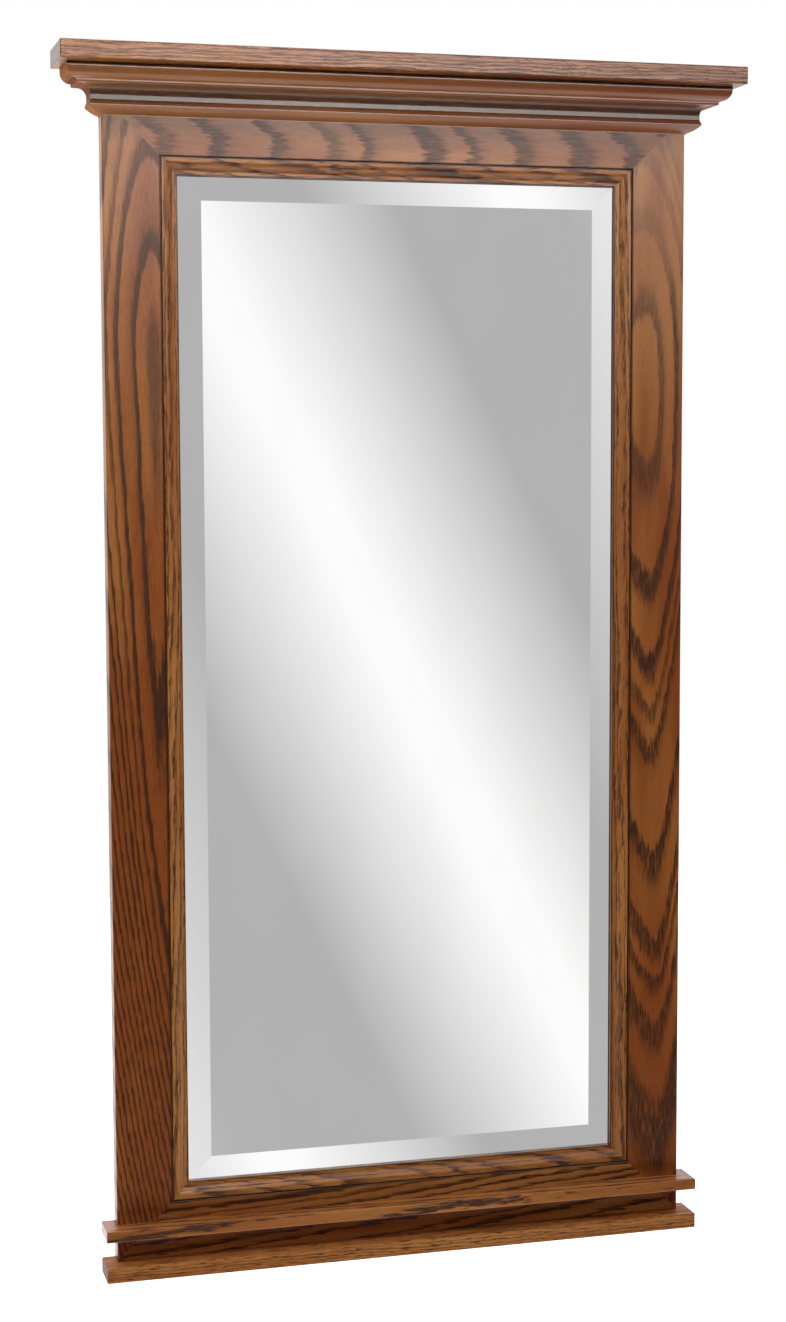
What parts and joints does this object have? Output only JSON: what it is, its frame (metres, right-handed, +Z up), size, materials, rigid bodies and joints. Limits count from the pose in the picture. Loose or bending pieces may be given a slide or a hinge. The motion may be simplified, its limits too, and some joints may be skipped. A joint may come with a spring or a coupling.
{
  "type": "wall mirror",
  "caption": "Tall wall mirror with bevelled glass in a mitred oak frame, with a moulded crown and cap on top, stepped ledges at the foot and keyhole hangers behind.",
  "frame": {"origin": "middle of the top rail's back face, on the wall plane and level with the hanger plates", "axes": "+Z up, +Y into the wall, +X to the right as seen from the front"},
  "size_m": [0.76, 0.08, 1.327],
  "materials": {
    "oak": "stained and varnished",
    "mirror": "silvered, bevelled",
    "hardboard": "smooth hardboard",
    "beech": "bare",
    "rubber": "matt",
    "zinc_steel": "zinc plated",
    "brass": "plated"
  },
  "bodies": {
    "mirror": {"stile_left": "oak", "stile_right": "oak", "rail_top": "oak", "rail_bottom": "oak", "liner_left": "oak", "liner_right": "oak", "liner_top": "oak", "liner_bottom": "oak", "crown_front": "oak", "crown_return_left": "oak", "crown_return_right": "oak", "crown_backer": "oak", "top_cap": "oak", "upper_ledge_front": "oak", "upper_ledge_return_left": "oak", "upper_ledge_return_right": "oak", "lower_ledge": "oak", "mirror_glass": "mirror", "back_panel": "hardboard", "corner_biscuits": "beech", "backer_dowels": "beech", "setting_pads": "rubber", "cap_screws": "zinc_steel", "upper_ledge_screws": "zinc_steel", "lower_ledge_screws": "zinc_steel", "crown_brads": "zinc_steel", "liner_brads": "zinc_steel", "hanger_plate_left": "zinc_steel", "hanger_plate_right": "zinc_steel", "hanger_screws": "zinc_steel", "turn_button_screws": "brass"},
    "turn_button_left_lower": {"turn_button_left_lower": "brass"},
    "turn_button_left_middle": {"turn_button_left_middle": "brass"},
    "turn_button_left_upper": {"turn_button_left_upper": "brass"},
    "turn_button_right_lower": {"turn_button_right_lower": "brass"},
    "turn_button_right_middle": {"turn_button_right_middle": "brass"},
    "turn_button_right_upper": {"turn_button_right_upper": "brass"},
    "turn_button_top": {"turn_button_top": "brass"},
    "turn_button_bottom": {"turn_button_bottom": "brass"}
  },
  "joints": [
    {"name": "turn_button_left_lower_turn", "type": "hinge", "parent": "mirror", "child": "turn_button_left_lower", "pos_m": [-0.262, -0.0023, -0.981], "axis": [0, 1, 0], "range_deg": [-90, 90]},
    {"name": "turn_button_left_middle_turn", "type": "hinge", "parent": "mirror", "child": "turn_button_left_middle", "pos_m": [-0.262, -0.0023, -0.601], "axis": [0, 1, 0], "range_deg": [-90, 90]},
    {"name": "turn_button_left_upper_turn", "type": "hinge", "parent": "mirror", "child": "turn_button_left_upper", "pos_m": [-0.262, -0.0023, -0.221], "axis": [0, 1, 0], "range_deg": [-90, 90]},
    {"name": "turn_button_right_lower_turn", "type": "hinge", "parent": "mirror", "child": "turn_button_right_lower", "pos_m": [0.262, -0.0023, -0.981], "axis": [0, 1, 0], "range_deg": [-90, 90]},
    {"name": "turn_button_right_middle_turn", "type": "hinge", "parent": "mirror", "child": "turn_button_right_middle", "pos_m": [0.262, -0.0023, -0.601], "axis": [0, 1, 0], "range_deg": [-90, 90]},
    {"name": "turn_button_right_upper_turn", "type": "hinge", "parent": "mirror", "child": "turn_button_right_upper", "pos_m": [0.262, -0.0023, -0.221], "axis": [0, 1, 0], "range_deg": [-90, 90]},
    {"name": "turn_button_top_turn", "type": "hinge", "parent": "mirror", "child": "turn_button_top", "pos_m": [0, -0.0023, -0.037], "axis": [0, 1, 0], "range_deg": [-90, 90]},
    {"name": "turn_button_bottom_turn", "type": "hinge", "parent": "mirror", "child": "turn_button_bottom", "pos_m": [0, -0.0023, -1.165], "axis": [0, 1, 0], "range_deg": [-90, 90]}
  ]
}
